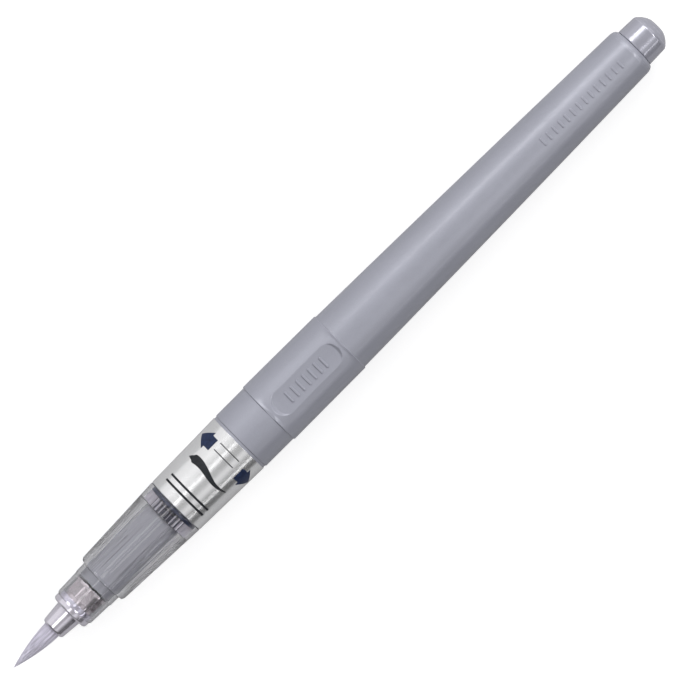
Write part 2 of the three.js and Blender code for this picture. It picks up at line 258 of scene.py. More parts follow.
def strands(name, colour):
    """Nylon filaments: each has its own tone, and pigment has dried between them."""
    finish = Finish(name, Subsurface_Weight=0.1, Coat_Weight=0.5)
    finish.shader.inputs["Subsurface Radius"].default_value = (0.0012, 0.0010, 0.0012)
    tone = finish.noise(3.2, 3.0, stretch=(26, 1, 1))
    dust = finish.noise(0.5, 4.0)
    base = finish.mix(finish.ramp(tone, 0.3, 0.7), shade(colour, 0.62), shade(colour, 1.3))
    base = finish.mix(finish.ramp(dust, 0.45, 0.7, 0.0, 0.3), base, (0.62, 0.62, 0.72))
    rough = finish.ramp(tone, 0.3, 0.7, 0.2, 0.32)
    relief = finish.bump(tone, 0.01)
    return finish.done(Base_Color=base, Roughness=rough, Normal=relief)


def rubber(name, colour):
    """Moulded rubber: matt, speckled and slightly blue."""
    finish = Finish(name)
    speck = finish.noise(4.0, 4.0)
    base = finish.mix(finish.ramp(speck, 0.35, 0.7), colour, shade(colour, 1.9))
    rough = finish.ramp(speck, 0.3, 0.7, 0.42, 0.6)
    return finish.done(Base_Color=base, Roughness=rough, Normal=finish.bump(speck, 0.01))


def felt(name, colour):
    """Felted fibre, drawn out along the pen and stained by ink."""
    finish = Finish(name, Roughness=0.9, Sheen_Weight=0.3)
    fibre = finish.noise(5.0, 4.0, stretch=(9, 1, 1))
    stain = finish.noise(0.5, 3.0)
    base = finish.mix(finish.ramp(fibre, 0.3, 0.7), shade(colour, 0.7), shade(colour, 1.15))
    base = finish.mix(finish.ramp(stain, 0.4, 0.7, 0.0, 0.5), base, (0.33, 0.33, 0.4))
    return finish.done(Base_Color=base, Normal=finish.bump(fibre, 0.05))


def polished_steel(name, colour):
    """A ground and polished ball with fine scratches and a film of dried ink."""
    finish = Finish(name, Metallic=1.0)
    scratch = finish.noise(2.0, 6.0, stretch=(1, 8, 1))
    film = finish.noise(0.9, 4.0)
    base = finish.mix(finish.ramp(film, 0.4, 0.7, 0.0, 0.5), colour, shade(colour, 0.55))
    rough = finish.ramp(scratch, 0.35, 0.7, 0.1, 0.28)
    return finish.done(Base_Color=base, Roughness=rough, Normal=finish.bump(scratch, 0.002))


def make_materials():
    return {
        "nylon": strands("nylon_strands", (0.61, 0.58, 0.69)),
        "milky_plastic": moulded(
            "milky_plastic",
            (0.7, 0.67, 0.71),
            0.2,
            grain=0.003,
            edge_tone=1.1,
            Subsurface_Weight=0.15,
            Coat_Weight=0.4,
        ),
        "pearl_plastic": moulded(
            "pearl_plastic", (0.72, 0.69, 0.77), 0.16, metallic=0.75, grain=0.0004, Coat_Weight=0.8
        ),
        "cream_plastic": moulded(
            "cream_plastic", (0.74, 0.68, 0.69), 0.16, metallic=0.85, grain=0.0004, Coat_Weight=0.6
        ),
        "fibre": felt("felted_fibre", (0.72, 0.7, 0.68)),
        "clear_plastic": clear("clear_plastic", (0.86, 0.86, 0.885), 0.03),
        "collector_grey": moulded("collector_grey", (0.3, 0.3, 0.32), 0.33, metallic=0.2, grain=0.001),
        "collar_grey": moulded("collar_grey", (0.055, 0.055, 0.085), 0.3),
        "black_rubber": rubber("black_rubber", (0.02, 0.026, 0.055)),
        "barrel_grey": moulded(
            "barrel_grey", (0.325, 0.33, 0.385), 0.38, metallic=0.15, Coat_Weight=0.15
        ),
        "label_foil": foil("label_foil", (0.84, 0.84, 0.85)),
        "tail_grey": moulded(
            "tail_grey", (0.37, 0.37, 0.43), 0.2, metallic=0.3, grain=0.002, Coat_Weight=0.5
        ),
        "steel": polished_steel("steel", (0.62, 0.62, 0.64)),
        "black_ink": ink("black_ink", (0.01, 0.011, 0.014)),
        "navy_ink": ink("navy_ink", (0.009, 0.016, 0.045)),
        "pale_ink": ink("pale_ink", (0.07, 0.07, 0.075)),
    }


MATERIALS = make_materials()

# ---------------------------------------------------------------- mesh helpers


def add_piece(name, points, faces, body, slot, nodes=(), material=None, edges=None, crease=38):
    """A mesh from points in metres that rides on a body and stands for CAD nodes."""
    mesh = bpy.data.meshes.new(name)
    mesh.from_pydata([tuple(p) for p in points], [], faces)
    if edges:
        mesh.attributes.new("edge", "FLOAT", "POINT").data.foreach_set("value", edges)
    work = bmesh.new()
    work.from_mesh(mesh)
    bmesh.ops.recalc_face_normals(work, faces=work.faces)
    work.to_mesh(mesh)
    work.free()
    mesh.shade_smooth()
    mesh.set_sharp_from_angle(angle=math.radians(crease))
    mesh.materials.append(MATERIALS[material or slot])
    made = bpy.data.objects.new(name, mesh)
    bpy.context.collection.objects.link(made)
    if body:
        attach(made, body)
    if nodes:
        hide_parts(*nodes)
    return made


def eased(profile, amount=EDGE, closed=True):
    """A profile with its corners rounded, as (station, radius, edge) rings.

    A ring on either side of each corner keeps the long faces' shading straight.
    """
    points = [Vector(entry[:2]) for entry in profile]
    count = len(points)
    rings = []
    for index, here in enumerate(points):
        back = points[index - 1] - here
        ahead = points[(index + 1) % count] - here
        at_end = not closed and index in (0, count - 1)
        if at_end or back.angle(-ahead) < 0.12:
            rings.append((here.x, here.y, 0.0))
            continue
        wanted = profile[index][2] if len(profile[index]) > 2 else amount
        cut = min(wanted, 0.3 * back.length, 0.3 * ahead.length)
        turn = back.y * ahead.x - back.x * ahead.y
        kind = 1.0 if turn < 0 else -1.0
        first = here + back.normalized() * cut
        last = here + ahead.normalized() * cut
        before = here + back.normalized() * cut * 1.6
        after = here + ahead.normalized() * cut * 1.6
        rings.append((before.x, before.y, 0.0))
        for share in (0.0, 0.25, 0.5, 0.75, 1.0):
            spot = first.lerp(here, share).lerp(here.lerp(last, share), share)
            rings.append((spot.x, spot.y, kind * (1 - abs(2 * share - 1) * 0.8)))
        rings.append((after.x, after.y, 0.0))
    return rings


def spin(rings, segments, closed=True, form=None, keep=None):
    """Points, faces and edge values of rings turned about the pen's axis.

    form(station, radius, angle) may change a radius, and keep(ring, segment) may leave a face out.
    """
    points, edges = [], []
    for station, radius, edge in rings:
        for segment in range(segments):
            angle = UP + 2 * math.pi * segment / segments
            wide = form(station, radius, angle) if form else radius
            points.append(place(station, wide, angle))
            edges.append(edge)
    faces = []
    last = len(rings) if closed else len(rings) - 1
    for ring in range(last):
        for segment in range(segments):
            if keep and not keep(ring, segment):
                continue
            beside = (segment + 1) % segments
            here, there = ring * segments, (ring + 1) % len(rings) * segments
            faces.append((here + segment, here + beside, there + beside, there + segment))
    return points, faces, edges


def turned(name, outside, bore, body, slot, at, segments=ROUND, form=None, amount=EDGE, **finish):
    """A turned piece: outside and bore are (station, radius) lists from its front face."""
    profile = [(at + s, *rest) for s, *rest in [*outside, *reversed(bore)]]
    rings = eased(profile, amount)
    points, faces, edges = spin(rings, segments, form=form)
    nodes = finish.pop("nodes", (name,))
    add_piece(name, points, faces, body, slot, nodes, edges=edges, **finish)


def capped(name, profile, body, slot, at, segments=ROUND):
    """A solid turned piece: its profile starts and ends near the axis, and flat discs close it."""
    rings = eased([(at + s, *rest) for s, *rest in profile], closed=False)
    points, faces, edges = spin(rings, segments, closed=False)
    faces += end_faces(len(rings), segments)
    add_piece(name, points, faces, body, slot, (name,), edges=edges)


def end_faces(rings, segments):
    """Flat discs over the first and the last ring."""
    last = (rings - 1) * segments
    return [tuple(range(segments)), tuple(range(last, last + segments))]


def tube_along(path, radii, sides=8):
    """Points and faces of a round tube along a path of points, with closed ends."""
    points, faces = [], []
    for index, spot in enumerate(path):
        ahead = path[min(index + 1, len(path) - 1)] - path[max(index - 1, 0)]
        turn = ahead.to_track_quat("Z", "Y").to_matrix()
        for side in range(sides):
            angle = 2 * math.pi * side / sides
            away = Vector((math.cos(angle), math.sin(angle), 0)) * radii[index]
            points.append(spot + turn @ away)
    for index in range(len(path) - 1):
        for side in range(sides):
            beside = (side + 1) % sides
            here, there = index * sides, (index + 1) * sides
            faces.append((here + side, here + beside, there + beside, there + side))
    return points, faces + end_faces(len(path), sides)


def joined(parts):
    """Several lots of points and faces as one."""
    points, faces = [], []
    for more_points, more_faces in parts:
        shift = len(points)
        points += more_points
        faces += [tuple(i + shift for i in face) for face in more_faces]
    return points, faces


def thread(start, helix_radius, bead_radius):
    """A round thread that tapers away at both ends."""
    steps = int(THREAD_TURNS * 56)
    path, radii = [], []
    for step in range(steps + 1):
        share = step / steps
        turn = share * THREAD_TURNS
        path.append(place(start + PITCH * turn, helix_radius, 2 * math.pi * turn))
        radii.append(bead_radius * MM * math.sqrt(min(1, 12 * min(share, 1 - share) + 0.05)))
    return tube_along(path, radii, sides=12)


# ---------------------------------------------------------------- brush


TUFT_RADIUS = 1.7
TUFT_SEGMENTS = 180


def tuft_radius(station):
    tip_length = span("ferrule")[0]
    share = min(station / tip_length, 1.0)
    return TUFT_RADIUS * (1 - (1 - share) ** 1.75)


def make_bristles():
    """A grooved core under loose filaments that gather at the point."""
    dice = random.Random(4)
    end = span("bristles")[1]
    grooves = [(dice.randint(17, 43), dice.uniform(0, 2 * math.pi)) for _ in range(5)]

    def grooved(station, radius, angle):
        depth = sum(math.sin(n * angle + phase) for n, phase in grooves)
        return radius * (0.93 + 0.012 * depth)

    rings = [(0.25, 0.03, 0.0)]
    for step in range(1, 41):
        station = lerp(0.25, 10.5, step / 40)
        rings.append((station, tuft_radius(station), 0.0))
    rings.append((end, TUFT_RADIUS, 0.0))
    core, faces, edges = spin(rings, TUFT_SEGMENTS, closed=False, form=grooved)
    faces += end_faces(len(rings), TUFT_SEGMENTS)
    add_piece("bristles", core, faces, "nose", "nylon", ("bristles",), edges=edges)
    add_piece("filaments", *joined(filaments(dice)), "nose", "nylon")


def filaments(dice, count=230, thickness=0.085):
    """Single filaments laid side by side on the core; most reach the point, some stop short."""
    for index in range(count):
        angle = 2 * math.pi * (index + dice.uniform(-0.3, 0.3)) / count
        front = 0.03 + 6.0 * dice.random() ** 2.6 if index % 5 else 0.02
        sway = dice.uniform(-0.05, 0.05)
        path, radii = [], []
        steps = 22
        for step in range(steps + 1):
            share = step / steps
            station = lerp(front, 10.4, share**1.15)
            lift = tuft_radius(station) - thickness / 2
            swing = sway * math.sin(math.pi * share)
            path.append(place(station, max(lift, 0.012), angle + swing))
            taper = min(1.0, 0.18 + (station - front) / 1.6)
            radii.append(min(thickness / 2, 0.5 * tuft_radius(station) + 0.01) * taper * MM)
        yield tube_along(path, radii, sides=6)


def make_ferrule():
    """A pearly cone outside the nose, and a creamy body with a flange inside it."""
    at = span("ferrule")[0]
    cone = [(0, 1.95), (0.12, 2.18), (0.4, 2.33), (4.6, 2.72), (5.6, 2.95), (6.4, 2.95)]
    bore = [(0, 1.78), (3.05, 1.78), (3.05, 2.1), (6.4, 2.1)]
    milky = ("nose", "milky_plastic", at)
    turned("ferrule", cone, bore, *milky, amount=0.06, material="pearl_plastic")

    def faceted(station, radius, angle):
        return on_facets(radius, angle)[0] if 3.2 < radius < 3.4 else radius

    body = [(6.42, 2.95), (7.2, 2.95), (7.3, 3.3), (9.7, 3.3), (9.7, 3.5), (10.4, 3.5)]
    bore = [(6.42, 2.1), (10.4, 2.1)]
    looks = {"form": faceted, "amount": 0.06, "material": "cream_plastic"}
    turned("ferrule_body", body, bore, *milky, nodes=("ferrule",), **looks)


def make_feed():
    """What lies in a row inside the ferrule and the feed tube behind it."""
    at = {node: span(node)[0] for node in ("bristle_root", "retainer_bush", "buffer_sponge")}
    for node, length, outer, inner, slot in (
        ("bristle_root", 1.0, 2.0, 0.6, "nylon"),
        ("retainer_bush", 2.2, 2.0, 0.95, "milky_plastic"),
        ("buffer_sponge", 3.6, 2.0, 0.9, "fibre"),
    ):
        outside = [(0, outer), (length, outer)]
        bore = [(0, inner), (length, inner)]
        turned(node, outside, bore, "nose", slot, at[node], segments=72)
    core = [(0, 0.02), (0, 0.8), (18.6, 0.8), (18.6, 0.02)]
    capped("feed_core", core, "nose", "fibre", span("feed_core")[0], segments=48)
    front, rear = span("feed_tube")
    flange = span("tube_seal")[0] - 0.25 - front
    behind = flange + 0.2
    outside = [(0, 1.4), (flange, 1.4), (flange, 2.4), (behind, 2.4), (behind, 1.4)]
    outside.append((rear - front, 1.4))
    bore = [(0, 0.9), (rear - front, 0.9)]
    turned("feed_tube", outside, bore, "feed", "milky_plastic", front, segments=72)
    lips = [(0, 3.75), (0.25, 3.9), (0.45, 3.7), (0.65, 3.7), (0.85, 3.9), (1.1, 3.75)]
    bore = [(0, 1.5), (1.1, 1.5)]
    turned("tube_seal", lips, bore, "feed", "black_rubber", span("tube_seal")[0], amount=0.08)


# ---------------------------------------------------------------- nose

SHOULDER, POCKET = 22.5, 38.2  # the cap's stop, and the pocket behind the grip
GRIP_FRONT, GRIP_REAR = SHOULDER + 1.5, POCKET - 0.3
GRIP_RIBS = 48
RIB_DEPTH = 0.035
INSIDE_FACETS = 8  # flats round the pieces seen through the nose
COLLECTOR_GROOVES = 56
COLLAR_RIBS, COLLAR_DEPTH = 24, 0.28


def on_facets(radius, angle):
    """The radius of a facetted piece inside the nose, and which facet it is; one faces up."""
    facet = 2 * math.pi / INSIDE_FACETS
    turned_by = angle - UP + CAMERA_TILT + facet / 2
    off = turned_by % facet - facet / 2
    return radius * math.cos(facet / 2) / math.cos(off), int(turned_by // facet)


def ribbed_grip(station, radius, angle):
    """Shallow ribs along the clear nose that fade out before its shoulder and its rear."""
    if radius < 5.0:
        return radius
    fade = smooth(GRIP_FRONT, GRIP_FRONT + 1.2, station)
    fade *= 1 - smooth(GRIP_REAR - 0.8, GRIP_REAR, station)
    groove = 0.5 - 0.5 * math.cos(GRIP_RIBS * angle)
    return radius - RIB_DEPTH * fade * groove


def make_clear_nose():
    shoulder = SHOULDER - NOSE_FRONT
    rear = JOINT - 0.05 - NOSE_FRONT
    pocket = POCKET - NOSE_FRONT
    end = SPIGOT_END - NOSE_FRONT
    chamber = shoulder - 0.1
    end_radius = reach("clear_nose")
    grip = [shoulder + 0.5 + (rear - shoulder - 0.5) * step / 26 for step in range(27)]
    outside = [(0, 3.95, 0.16), (0.25, 4.1, 0.3), (4.8, 4.24), (4.95, 4.35)]
    outside += [(shoulder, 4.38), (shoulder, 4.95)]
    outside += [(s, lerp(5.24, end_radius, (s - grip[0]) / (grip[-1] - grip[0]))) for s in grip]
    outside += [(rear, 5.25), (pocket, 5.25), (pocket, 4.45), (end - 0.4, 4.45), (end, 4.15)]
    bore = [(0, 3.65), (chamber, 3.65), (chamber, 3.95), (end, 3.95)]
    looks = {"segments": GRIP_RIBS * 8, "form": ribbed_grip, "amount": 0.1}
    turned("clear_nose", outside, bore, "nose", "clear_plastic", NOSE_FRONT, **looks)
    add_piece("nose_thread", *thread(THREAD_START, 4.53, 0.32), "nose", "clear_plastic")
    add_piece("nose_splines", *joined(pocket_splines()), "nose", "milky_plastic")


def pocket_splines(count=36, width=0.05):
    """Thin splines round the pocket behind the grip, which stiffen the nose's rear edge."""
    low, high = 4.48, 5.22
    front, rear = POCKET + 0.03, span("nose_gasket")[0] - 0.1
    for index in range(count):
        middle = 2 * math.pi * index / count
        section = []
        for radius, half in ((low, 1.0), (high - 0.12, 1.0), (high, 0.6)):
            section.append((radius, half * width / 2 / radius))
        outline = [*section, *[(radius, -half) for radius, half in reversed(section)]]
        points = [
            place(station, radius, middle + side)
            for station in (front, rear)
            for radius, side in outline
        ]
        yield points, loop_faces(len(outline), 1) + end_faces(2, len(outline))


def make_nose_inside():
    outside = [(0, 3.55, 0.15), (0.3, 3.85, 0.2), (1.2, 3.85), (1.2, 3.6), (2.3, 3.6)]
    bore = [(0, 2.85), (1.3, 3.05), (2.3, 3.05)]
    at = span("front_ring")[0]
    looks = {"amount": 0.09, "material": "pearl_plastic"}
    turned("front_ring", outside, bore, "nose", "milky_plastic", at, **looks)
    front, rear = span("nose_gasket")
    outside = [(0, 5.15), (rear - front, 5.15)]
    bore = [(0, 4.55), (rear - front, 4.55)]
    turned("nose_gasket", outside, bore, "nose", "black_rubber", front, amount=0.2)
    front, rear = span("ink_collector")
    head = 1.9

    def fluted(station, radius, angle):
        if radius < 3.6 or station < front + head + 0.15:
            return radius
        flat, side = on_facets(radius, angle)
        depth = 0.16 if side % 2 else 0.01
        groove = 0.5 - 0.5 * math.cos(COLLECTOR_GROOVES * angle)
        return flat - depth * groove**2

    outside = [(0, 3.55), (head, 3.55), (head, 3.85), (rear - front, 3.85)]
    bore = [(0, 1.5), (rear - front, 1.5)]
    turned("ink_collector", outside, bore, "nose", "collector_grey", front, 480, fluted)
    front, rear = span("collector_collar")

    def ribbed(station, radius, angle):
        if radius < 3.6:
            return radius
        share = COLLAR_RIBS * angle / (2 * math.pi) % 1
        groove = smooth(0.5, 0.62, share) * (1 - smooth(0.88, 1.0, share))
        return radius - COLLAR_DEPTH * groove

    outside = [(0, 3.85), (rear - front, 3.85)]
    bore = [(0, 1.5), (rear - front, 1.5)]
    turned("collector_collar", outside, bore, "nose", "collar_grey", front, 480, ribbed)


# ---------------------------------------------------------------- barrel

SEGMENTS = 216  # round the barrel
WINDOW = 16  # segments either side of top and bottom that a dimple's frame fills
DIMPLE_HALF = 8.15
DIMPLE_RADIUS = 2.45
FLOOR = 5.95  # the dimple's floor, from the axis
FLAT = 0.17  # how far the squeeze zone's middle is flattened
PLANE = AXIS_Z / MM  # the zone is cut flat this far above and below the axis
LABEL_SEAT_END = 57.65
REAR_ROUNDING = 156.0  # the barrel's rear edge starts to round here
WELD = 0.004 * MM


def zone_shape(station, radius, angle):
    """The zone's section: a crease either side of each panel, with a flatter face between them."""
    if not ZONE_FRONT + 0.05 < station < ZONE_REAR - 0.05 or radius < 6.3:
        return radius
    along = abs(station - PAD_CENTRE) / ZONE_HALF
    half = math.radians(39 + 13 * along**6)
    away = min(abs(angle - UP), abs(angle - UP - math.pi), abs(angle - UP - 2 * math.pi))
    fade = 1 - smooth(0.93, 1.0, along)
    return radius - FLAT * fade * max(0.0, 1 - (away / half) ** 2)


def zone_radius(station):
    share = (station - ZONE_FRONT) / (ZONE_REAR - ZONE_FRONT)
    return lerp(reach("barrel"), reach("barrel") - 0.09, share)


def rear_radius(station):
    """The rear taper, which bows out a little in its middle."""
    share = (station - ZONE_REAR) / (REAR_ROUNDING - ZONE_REAR)
    return lerp(6.27, 4.83, share) + 0.09 * math.sin(math.pi * share)


def on_zone(station, across):
    """How far the zone's skin is above the axis, or below it, at that station and distance across."""
    height = zone_radius(station)
    for _ in range(4):
        angle = math.atan2(height, across)
        radius = zone_shape(station, zone_radius(station), angle)
        height = math.sqrt(max(radius**2 - across**2, 1.0))
    return min(height, PLANE)


def at_height(station, across, height, side):
    """A point in metres from a height above or below the axis."""
    return Vector((TIP_X + station * MM, across * MM, AXIS_Z + side * height * MM))


def rim_point(station, across):
    """The nearest point of the dimple's rim, and the way out of the dimple there."""
    straight = DIMPLE_HALF - DIMPLE_RADIUS
    core = min(max(station - PAD_CENTRE, -straight), straight)
    away = Vector((station - PAD_CENTRE - core, across)).normalized()
    return Vector((PAD_CENTRE + core, 0)) + away * DIMPLE_RADIUS, away


def barrel_profile():
    """The barrel's outside, from its mouth to its tail, and its bore."""
    step = 0.12
    outside = [
        (JOINT, 5.89),
        (LABEL_SEAT_END, 6.2),
        (LABEL_SEAT_END + step, 6.36),
        (ZONE_FRONT - step, 6.36),
        (ZONE_FRONT, zone_radius(ZONE_FRONT), 0.05),
    ]
    inset = 0.3
    rows = 24
    for row in range(rows + 1):
        station = lerp(ZONE_FRONT + inset, ZONE_REAR - step - inset, row / rows)
        outside.append((station, zone_radius(station)))
    outside.append((ZONE_REAR - step, zone_radius(ZONE_REAR), 0.05))
    for row in range(rows + 1):
        station = lerp(ZONE_REAR, REAR_ROUNDING, row / rows)
        outside.append((station, rear_radius(station)))
    outside += [(156.35, 4.77), (156.7, 4.66), (157.0, 4.45), (BARREL_END, 4.15)]
    bore = [
        (JOINT, 4.98),
        (47.7, 4.98),
        (48.2, 4.6),
        (54.2, 4.6),
        (55.2, 5.45),
        (ZONE_FRONT + 0.6, 5.45),
        (ZONE_REAR - 0.9, 5.45),
        (ZONE_REAR, 5.45),
        (116.5, 4.8),
        (150.2, 4.12),
        (150.8, 3.6),
        (BARREL_END, 3.6),
    ]
    return outside, bore


def dimple_frame(side, corners):
    """The skin between a window's edge and the dimple's rim, all of it on the zone's surface."""
    rows = 9
    loops = [[Vector((station, across)) for station, across in corners]]
    for row in range(1, rows + 1):
        share = smooth(0, 1, row / rows) if row < rows else 1.0
        loops.append([spot.lerp(rim_point(*spot)[0], share) for spot in loops[0]])
    points = []
    for loop in loops:
        points += [at_height(*spot, on_zone(*spot), side) for spot in loop]
    return points, loop_faces(len(corners), rows)


def loop_faces(count, rows):
    faces = []
    for row in range(rows):
        for here in range(count):
            beside = (here + 1) % count
            low, high = row * count, (row + 1) * count
            faces.append((low + here, low + beside, high + beside, high + here))
    return faces


def window_edge(stations):
    """The corners of the window in the barrel's grid, once round, as (station, across)."""
    turn = 2 * math.pi / SEGMENTS

    def across(station, segment):
        radius = zone_shape(station, zone_radius(station), UP + segment * turn)
        return radius * math.sin(segment * turn)

    front, rear = stations[0], stations[-1]
    steps = range(-WINDOW, WINDOW + 1)
    edge = [(front, across(front, k)) for k in steps]
    edge += [(s, across(s, WINDOW)) for s in stations[1:-1]]
    edge += [(rear, across(rear, k)) for k in reversed(steps)]
    edge += [(s, across(s, -WINDOW)) for s in reversed(stations[1:-1])]
    return edge


def make_barrel():
    outside, bore = barrel_profile()
    rings = eased([*outside, *reversed(bore)])
    low, high = ZONE_FRONT + 0.25, ZONE_REAR - 0.35
    inside = [s for s, r, _ in rings if low < s < high and r > 6.2]

    def is_kept(ring, segment):
        """False in the two windows that the dimples' frames fill."""
        station = rings[ring][0]
        beyond = rings[(ring + 1) % len(rings)][0]
        near = min(
            min((segment - turn) % SEGMENTS, (turn - 1 - segment) % SEGMENTS)
            for turn in (0, SEGMENTS // 2)
        )
        return min(station, beyond) < low or max(station, beyond) > high or near >= WINDOW

    points, faces, edges = spin(rings, SEGMENTS, form=zone_shape, keep=is_kept)
    points = [Vector((p.x, p.y, min(max(p.z, 0.0), 2 * AXIS_Z))) for p in points]
    corners = window_edge(inside)
    parts = [(points, faces)]
    parts += [dimple_frame(side, corners) for side in (1, -1)]
    parts.append(thread(THREAD_START + PITCH / 2, 4.93, 0.3))
    points, faces = joined(parts)
    edges += [0.0] * (len(points) - len(edges))
    made = add_piece("barrel", points, faces, "barrel", "barrel_grey", ("barrel",), edges=edges)
    weld(made)
    return corners


def weld(made):
    """Joins the points that two lots of faces share."""
    work = bmesh.new()
    work.from_mesh(made.data)
    bmesh.ops.remove_doubles(work, verts=work.verts, dist=WELD)
    bmesh.ops.recalc_face_normals(work, faces=work.faces)
    work.to_mesh(made.data)
    work.free()


def wall_width(drop):
    """The dimple's wall leans out more where it is deeper, at the ends."""
    return 0.12 + 1.7 * drop


def make_push_skin(name, side, corners, node):
    """The dimple's wall and floor, in place of the push pad's CAD node."""
    rims = [rim_point(*corner) for corner in corners]
    slope = [0.0, 0.06, 0.16, 0.3, 0.46, 0.62, 0.78, 0.9, 1.0]
    # Edge values down the dimple's wall: 1.0 near the rim lightens it as wear, -0.5 near the foot is
    # painted shade in the recess.
    edge_tone = {0.06: 1.0, 0.16: 1.0, 0.9: -0.5}
    flats = [0.08, 0.2, 0.35, 0.5, 0.65, 0.8, 1.0]
    sag = 0.05
    inner = 1.15
    points, edges = [], []
    for share in slope:
        for rim, away in rims:
            drop = on_zone(*rim) - FLOOR
            spot = rim - away * wall_width(drop) * share
            height = FLOOR + drop * (1 - smooth(0, 1, share))
            points.append(at_height(*spot, height, side))
            edges.append(edge_tone.get(share, 0.0))
    for share in flats:
        for rim, away in rims:
            wall = wall_width(on_zone(*rim) - FLOOR)
            spot = rim - away * lerp(wall, wall + inner, share)
            height = FLOOR - sag * smooth(0, 1, share)
            points.append(at_height(*spot, height, side))
            edges.append(0.0)
    count = len(corners)
    rows = len(slope) + len(flats) - 1
    faces = loop_faces(count, rows)
    faces.append(tuple(rows * count + i for i in range(count)))
    made = add_piece(name, points, faces, None, "barrel_grey", (node,), edges=edges, crease=70)
    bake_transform(made)


def mound(centre, across, length, width, height, base, turn=0.0):
    """A rounded bar on a surface: base(station, across) gives the point and the way out of it."""
    outline = []
    half = (length - width) / 2
    for end in (1, -1):
        for step in range(9):
            angle = math.pi * (step / 8 - 0.5) + (0 if end > 0 else math.pi)
            outline.append(Vector((math.cos(angle) + end * half * 2 / width, math.sin(angle))))
    rows = [(1.0, -0.35), (1.0, 0.25), (0.93, 0.6), (0.8, 0.85), (0.6, 0.97), (0.3, 1.0)]
    points = []
    for share, rise in rows:
        for spot in outline:
            core = Vector((max(min(spot.x, half * 2 / width), -half * 2 / width), 0))
            near = (core + (spot - core) * share) * width / 2
            along = near.x * math.cos(turn) - near.y * math.sin(turn)
            aside = near.x * math.sin(turn) + near.y * math.cos(turn)
            spot_on, out = base(centre + along, across + aside)
            points.append(spot_on + out * height * rise * MM)
    faces = loop_faces(len(outline), len(rows) - 1)
    faces.append(tuple((len(rows) - 1) * len(outline) + i for i in range(len(outline))))
    return points, faces


def make_grip_ribs(name, side, body):
    """Low rounded ribs across the floor of a dimple."""

    def base(station, across):
        return at_height(station, across, FLOOR - 0.05, side), Vector((0, 0, side))

    bars = [
        mound(PAD_CENTRE + (i - 3) * 1.45, 0, 2.5, 0.5, 0.2, base, turn=math.pi / 2)
        for i in range(7)
    ]
    add_piece(name, *joined(bars), body, "barrel_grey", crease=80)


def make_tail_marks():
    """A row of plain raised ribs along the tail, all alike."""

    def base(station, arc):
        radius = rear_radius(station)
        angle = UP - 0.02 - arc / radius
        out = Vector((0, math.cos(angle), math.sin(angle)))
        return place(station, radius, angle), out

    bars = [
        mound(133.6 + index * 1.5, 0, 1.7, 0.5, 0.14, base, turn=math.pi / 2)
        for index in range(14)
    ]
    add_piece("tail_marks", *joined(bars), "barrel", "barrel_grey", crease=80)


def make_barrel_inside():
    outside = [(0, 4.5), (4.8, 4.5), (5.3, 4.2)]
    bore = [(0, 1.9), (0.8, 1.5), (5.3, 1.5)]
    turned("inner_plug", outside, bore, "barrel", "milky_plastic", span("inner_plug")[0])
    outside = [(0, 3.4), (0.25, 3.55), (0.75, 3.55), (1.0, 3.4)]
    bore = [(0, 2.85), (1.0, 2.85)]
    turned("tail_seal", outside, bore, "barrel", "black_rubber", span("tail_seal")[0])
    low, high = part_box("mixing_ball")
    middle = (low + high) / 2
    ball = bmesh.new()
    bmesh.ops.create_icosphere(ball, subdivisions=4, radius=(high.x - low.x) / 2)
    for vertex in ball.verts:
        lump = math.sin(vertex.co.x * 9000) * math.sin(vertex.co.y * 8000)
        vertex.co *= 1 - 0.0006 * abs(lump)
    points = [vertex.co + middle for vertex in ball.verts]
    faces = [tuple(v.index for v in face.verts) for face in ball.faces]
    ball.free()
    add_piece("mixing_ball", points, faces, "ball", "steel", ("mixing_ball",), crease=80)


def make_tail_plug():
    front = span("tail_plug")[0]
    end = TAIL_END - front
    profile = [
        (0, 0.02),
        (0, 3.1),
        (0.4, 3.4),
        (2.4, 3.4),
        (2.4, 2.8),
        (3.5, 2.8),
        (3.5, 3.4),
        (6.05, 3.4),
        (6.05, 4.06, 0.18),
        (end - 1.9, 3.95, 0.3),
        (end - 1.5, 3.73, 0.3),
        (end - 0.8, 3.05, 0.4),
        (end - 0.3, 2.3, 0.4),
        (end, 1.6, 0.3),
        (end, 0.02),
    ]
    capped("tail_plug", profile, "barrel", "tail_grey", front)


# ---------------------------------------------------------------- label

LABEL_FRONT, LABEL_REAR = span("foil_label")
LABEL_LIFT = 0.02  # thickness of the printed ink


def label_radius(station):
    share = (station - JOINT) / (LABEL_SEAT_END - JOINT)
    return lerp(6.03, 6.34, share)


def make_label():
    length = LABEL_REAR - LABEL_FRONT
    rows = 12
    outside = [
        (length * i / rows, label_radius(LABEL_FRONT + length * i / rows)) for i in range(rows + 1)
    ]
    bore = [(0, outside[0][1] - 0.11), (length, outside[-1][1] - 0.11)]
    turned("foil_label", outside, bore, "barrel", "label_foil", LABEL_FRONT, amount=0.03)


def on_label(station, arc, lift=LABEL_LIFT):
    """A point of the label; arc is measured from the line facing up, towards +Y."""
    radius = label_radius(station)
    return place(station, radius + lift, UP - arc / radius)


def stroke(spots, widths):
    """A ribbon of ink through (station, arc) spots, as wide as the brush pressed there."""
    path, spread = smooth_path(spots, widths)
    points = []
    for index, spot in enumerate(path):
        before = path[max(index - 1, 0)]
        after = path[min(index + 1, len(path) - 1)]
        ahead = (after - before).normalized()
        side = Vector((-ahead.y, ahead.x)) * spread[index] / 2
        for share in (-1, -0.33, 0.33, 1):
            place_at = spot + side * share
            points.append(on_label(place_at.x, place_at.y, LABEL_LIFT * (1 - 0.4 * abs(share))))
    faces = []
    for index in range(len(path) - 1):
        here, there = index * 4, (index + 1) * 4
        for lane in range(3):
            faces.append((here + lane, here + lane + 1, there + lane + 1, there + lane))
    return points, faces


